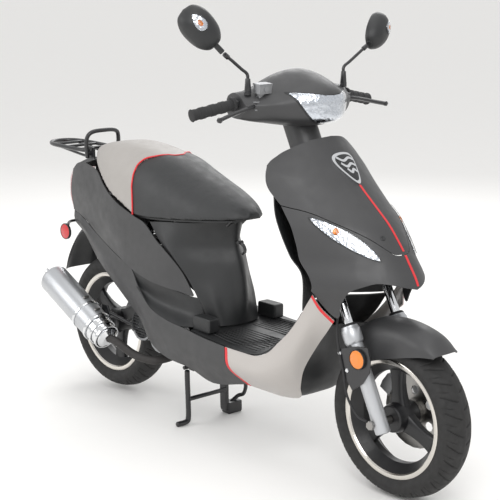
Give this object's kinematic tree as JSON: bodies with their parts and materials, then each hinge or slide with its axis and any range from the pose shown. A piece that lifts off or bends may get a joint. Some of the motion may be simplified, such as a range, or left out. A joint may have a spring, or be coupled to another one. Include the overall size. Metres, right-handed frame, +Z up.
{
  "type": "moped scooter",
  "caption": "Step-through moped scooter with a long seat, swinging engine unit, telescopic fork, rear rack and two mirrors, standing on its centre stand.",
  "frame": {"origin": "on the ground, at the middle of the scooter's bounding box", "axes": "+X forward, +Y to the rider's left, +Z up"},
  "size_m": [1.8447, 0.7977, 1.3319],
  "materials": {
    "charcoal_plastic": "fine grain, satin",
    "black_plastic": "grained",
    "light_panel": "painted warm light grey",
    "black_paint": "satin black paint",
    "bare_alloy": "cast, lacquered",
    "steel": "brushed",
    "chrome": "polished",
    "rubber": "moulded",
    "tyre": "moulded, matt",
    "vinyl": "grained seat vinyl",
    "clear_lens": "clear moulded plastic",
    "amber_reflector": "amber plastic reflector",
    "red_plastic": "clear red plastic",
    "mirror_glass": "polished"
  },
  "bodies": {
    "chassis": {"front_shield_upper": "charcoal_plastic", "front_shield_lower": "charcoal_plastic", "indicator_lens_right": "clear_lens", "indicator_lens_left": "clear_lens", "leg_shield_inner": "black_plastic", "floorboard": "black_plastic", "side_trim_right": "light_panel", "side_trim_left": "light_panel", "belly_pan": "black_plastic", "body_lower_right": "charcoal_plastic", "body_lower_left": "charcoal_plastic", "tail_cowl": "charcoal_plastic", "seat_post_cover": "black_plastic", "main_frame": "black_paint", "tail_light": "red_plastic", "rear_rack": "black_paint", "rear_mudguard": "black_plastic", "rear_reflectors": "red_plastic"},
    "seat": {"seat_cushion": "vinyl", "seat_base": "black_plastic"},
    "hook": {"bag_hook": "black_paint"},
    "stand": {"centre_stand": "black_paint"},
    "steering": {"fork_tube_right": "chrome", "fork_tube_left": "chrome", "fork_bridge": "black_paint", "handlebar": "black_paint", "left_grip": "rubber", "handlebar_cover_front": "charcoal_plastic", "handlebar_cover_rear": "black_plastic", "headlight_lens": "clear_lens", "brake_master_cylinder": "bare_alloy"},
    "throttle": {"throttle_grip": "rubber"},
    "lever_right": {"brake_lever_right": "black_paint"},
    "lever_left": {"brake_lever_left": "black_paint"},
    "starter": {"starter_button": "red_plastic"},
    "horn": {"horn_button": "black_plastic"},
    "stem_right": {"mirror_stem_right": "black_paint"},
    "stem_left": {"mirror_stem_left": "black_paint"},
    "head_right": {"mirror_head_right": "black_plastic", "mirror_glass_right": "mirror_glass"},
    "head_left": {"mirror_head_left": "black_plastic", "mirror_glass_left": "mirror_glass"},
    "fork_lower": {"fork_slider_right": "bare_alloy", "fork_slider_left": "bare_alloy", "front_axle": "steel", "front_fender": "charcoal_plastic", "brake_caliper": "bare_alloy", "front_reflector_right": "amber_reflector", "front_reflector_left": "amber_reflector"},
    "front_wheel": {"front_rim": "black_paint", "front_tyre": "tyre", "brake_disc": "steel"},
    "engine": {"engine_unit": "bare_alloy", "exhaust": "steel"},
    "kick": {"kick_lever": "black_paint"},
    "rear_wheel": {"rear_rim": "black_paint", "rear_tyre": "tyre"},
    "shock_upper": {"shock_body": "black_paint", "shock_spring": "chrome"},
    "shock_lower": {"shock_rod": "chrome"}
  },
  "joints": [
    {"name": "steering_turn", "type": "hinge", "parent": "chassis", "child": "steering", "pos_m": [0.39911, 0, 0.76], "axis": [-0.4446, 0, 0.8957], "range_deg": [-34, 34]},
    {"name": "fork_travel", "type": "slide", "parent": "steering", "child": "fork_lower", "axis": [-0.4446, 0, 0.8957], "range_m": [0, 0.055], "stiffness_N_per_m": 9000, "springref_m": -0.045},
    {"name": "front_wheel_spin", "type": "hinge", "parent": "fork_lower", "child": "front_wheel", "pos_m": [0.69535, 0, 0.227], "axis": [0, 1, 0], "continuous": true},
    {"name": "engine_swing", "type": "hinge", "parent": "chassis", "child": "engine", "pos_m": [-0.17965, 0, 0.215], "axis": [0, 1, 0], "range_deg": [0, 7], "stiffness_Nm_per_rad": 2500, "springref_deg": -6.88},
    {"name": "rear_wheel_spin", "type": "hinge", "parent": "engine", "child": "rear_wheel", "pos_m": [-0.57465, 0, 0.241], "axis": [0, 1, 0], "continuous": true},
    {"name": "kick_swing", "type": "hinge", "parent": "engine", "child": "kick", "pos_m": [-0.37865, 0.13, 0.236], "axis": [0, 1, 0], "range_deg": [0, 50], "stiffness_Nm_per_rad": 1.5, "springref_deg": -34.38},
    {"name": "shock_tilt", "type": "hinge", "parent": "chassis", "child": "shock_upper", "pos_m": [-0.48265, 0.078, 0.598], "axis": [0, 1, 0], "range_deg": [-1, 3]},
    {"name": "shock_stroke", "type": "slide", "parent": "shock_upper", "child": "shock_lower", "axis": [0.3994, 0, 0.9168], "range_m": [0, 0.055], "deforming": ["shock_spring"]},
    {"name": "seat_lift", "type": "hinge", "parent": "chassis", "child": "seat", "pos_m": [0.02135, 0, 0.671], "axis": [0, 1, 0], "range_deg": [0, 60]},
    {"name": "stand_fold", "type": "hinge", "parent": "chassis", "child": "stand", "pos_m": [-0.13865, 0, 0.186], "axis": [0, 1, 0], "range_deg": [0, 75]},
    {"name": "hook_swing", "type": "hinge", "parent": "chassis", "child": "hook", "pos_m": [0.03135, 0, 0.606], "axis": [0, 1, 0], "range_deg": [0, 14]},
    {"name": "throttle_twist", "type": "hinge", "parent": "steering", "child": "throttle", "pos_m": [0.24735, -0.216, 1.059], "axis": [0.214, 0.9593, 0.1845], "range_deg": [0, 70], "stiffness_Nm_per_rad": 0.4, "springref_deg": -5.73},
    {"name": "brake_lever_right_pull", "type": "hinge", "parent": "steering", "child": "lever_right", "pos_m": [0.29335, -0.176, 1.056], "axis": [0, 0, -1], "range_deg": [0, 13], "stiffness_Nm_per_rad": 4, "springref_deg": -2.86},
    {"name": "brake_lever_left_pull", "type": "hinge", "parent": "steering", "child": "lever_left", "pos_m": [0.29335, 0.176, 1.056], "axis": [0, 0, 1], "range_deg": [0, 13], "stiffness_Nm_per_rad": 4, "springref_deg": -2.86},
    {"name": "starter_push", "type": "slide", "parent": "steering", "child": "starter", "axis": [1, 0, 0], "range_m": [0, 0.003], "stiffness_N_per_m": 800, "springref_m": -0.001},
    {"name": "horn_push", "type": "slide", "parent": "steering", "child": "horn", "axis": [1, 0, 0], "range_m": [0, 0.003], "stiffness_N_per_m": 800, "springref_m": -0.001},
    {"name": "mirror_stem_right_turn", "type": "hinge", "parent": "steering", "child": "stem_right", "pos_m": [0.27135, -0.188, 1.1], "axis": [0, 0, 1], "range_deg": [-25, 25]},
    {"name": "mirror_stem_left_turn", "type": "hinge", "parent": "steering", "child": "stem_left", "pos_m": [0.27135, 0.188, 1.1], "axis": [0, 0, 1], "range_deg": [-25, 25]},
    {"name": "mirror_head_right_tilt", "type": "hinge", "parent": "stem_right", "child": "head_right", "pos_m": [0.27735, -0.284, 1.203], "axis": [0, 0, 1], "range_deg": [-10, 10]},
    {"name": "mirror_head_left_tilt", "type": "hinge", "parent": "stem_left", "child": "head_left", "pos_m": [0.27735, 0.284, 1.203], "axis": [0, 0, 1], "range_deg": [-10, 10]}
  ],
  "couplings": [
    {"joint": "shock_tilt", "follows": "engine_swing", "ratio": 0.1936},
    {"joint": "shock_stroke", "follows": "engine_swing", "m_per_rad": 0.4337}
  ]
}
